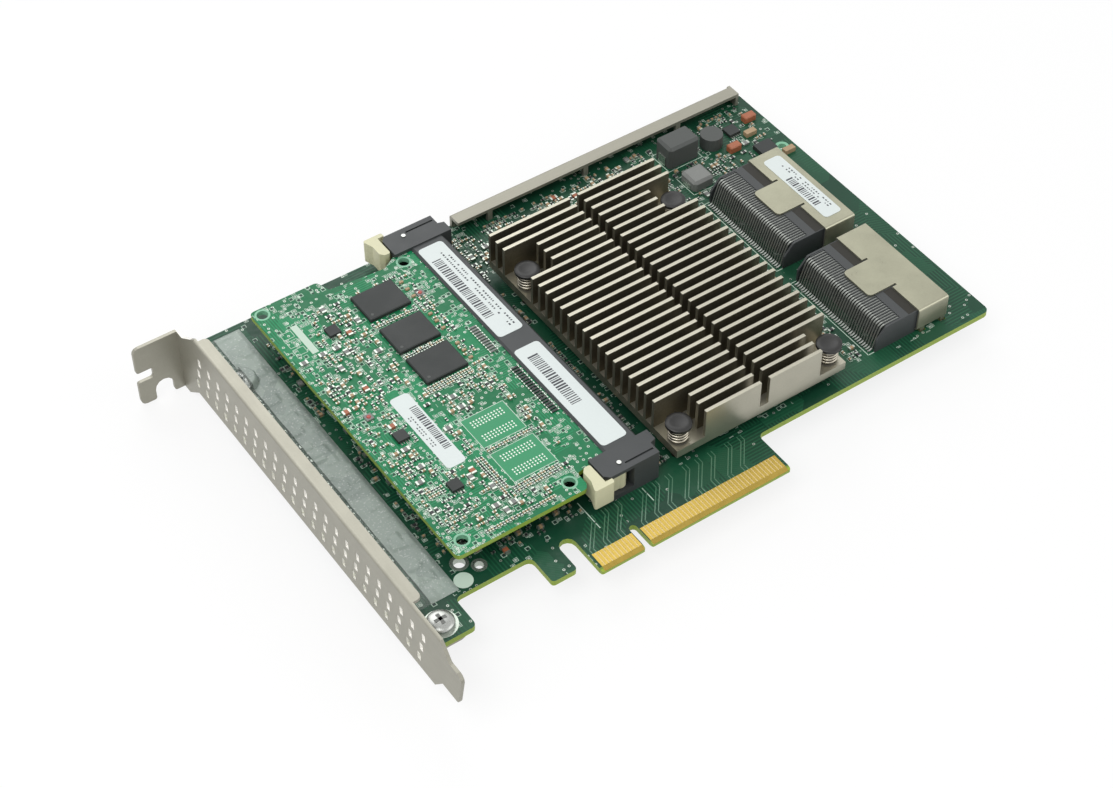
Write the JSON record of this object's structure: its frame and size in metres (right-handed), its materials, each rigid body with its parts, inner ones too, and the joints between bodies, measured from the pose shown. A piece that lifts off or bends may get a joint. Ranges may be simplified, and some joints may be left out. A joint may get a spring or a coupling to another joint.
{
  "type": "raid controller card",
  "caption": "Full-height storage controller card with perforated bracket, finned heat sink, memory module in a latched socket, and cable ports at its far end.",
  "frame": {"origin": "centre of the key notch at the tip of the edge contacts, on the component side of the main board", "axes": "+X along the card away from the bracket, +Y up the card from the edge contacts, +Z out of the component side"},
  "size_m": [0.1789, 0.1238, 0.0228],
  "materials": {
    "board_green": "dark green solder mask, satin",
    "module_green": "bright green solder mask, satin",
    "contact_gold": "gold flash",
    "bracket_steel": "matt nickel-plated sheet steel",
    "stiffener_steel": "matt nickel-plated sheet steel",
    "screw_steel": "zinc-plated steel",
    "clear_film": "clear grey plastic film",
    "socket_black": "moulded black plastic",
    "contact_tin": "tin-plated spring contacts",
    "latch_ivory": "ivory nylon",
    "pin_steel": "bright steel pin",
    "label_white": "white paper label",
    "chip_black": "black epoxy",
    "thermal_grey": "soft thermal pad",
    "sink_nickel": "nickel-tinted extruded aluminium",
    "pin_black": "black nylon",
    "spring_steel": "spring steel wire",
    "shell_nickel": "pale nickel-plated shell",
    "choke_dark": "pressed ferrite block",
    "choke_grey": "pressed ferrite block",
    "ceramic_tan": "ceramic chip parts",
    "capacitor_brown": "moulded capacitor"
  },
  "bodies": {
    "card": {"main_board": "board_green", "edge_contacts": "contact_gold", "bracket": "bracket_steel", "bracket_screw_lower": "screw_steel", "bracket_screw_upper": "screw_steel", "insulating_film": "clear_film", "module_board": "module_green", "memory_chip_1": "chip_black", "memory_chip_2": "chip_black", "memory_chip_3": "chip_black", "module_passives": "ceramic_tan", "module_ics": "chip_black", "module_label": "label_white", "module_socket": "socket_black", "socket_leads": "contact_tin", "socket_label_upper": "label_white", "socket_label_lower": "label_white", "upper_latch_pin": "pin_steel", "lower_latch_pin": "pin_steel", "controller_package": "chip_black", "thermal_pad": "thermal_grey", "heatsink": "sink_nickel", "push_pin_1": "pin_black", "push_pin_2": "pin_black", "push_pin_3": "pin_black", "push_pin_4": "pin_black", "push_pin_spring_1": "spring_steel", "push_pin_spring_2": "spring_steel", "push_pin_spring_3": "spring_steel", "push_pin_spring_4": "spring_steel", "sas_housing_1": "socket_black", "sas_contacts_1": "contact_tin", "sas_shell_1": "shell_nickel", "sas_housing_2": "socket_black", "sas_contacts_2": "contact_tin", "sas_shell_2": "shell_nickel", "port_label": "label_white", "stiffener": "stiffener_steel", "power_inductor": "choke_dark", "small_inductor": "choke_grey", "round_inductor": "choke_dark", "board_capacitors": "ceramic_tan", "tantalum_capacitors": "capacitor_brown", "board_ics": "chip_black"},
    "upper_latch": {"upper_latch": "latch_ivory"},
    "lower_latch": {"lower_latch": "latch_ivory"}
  },
  "joints": [
    {"name": "upper_latch_hinge", "type": "hinge", "parent": "card", "child": "upper_latch", "pos_m": [0.0041, 0.1065, 0.0046], "axis": [0, 0, -1], "range_deg": [0, 30]},
    {"name": "lower_latch_hinge", "type": "hinge", "parent": "card", "child": "lower_latch", "pos_m": [0.0041, 0.0174, 0.0046], "axis": [0, 0, 1], "range_deg": [0, 30]}
  ]
}
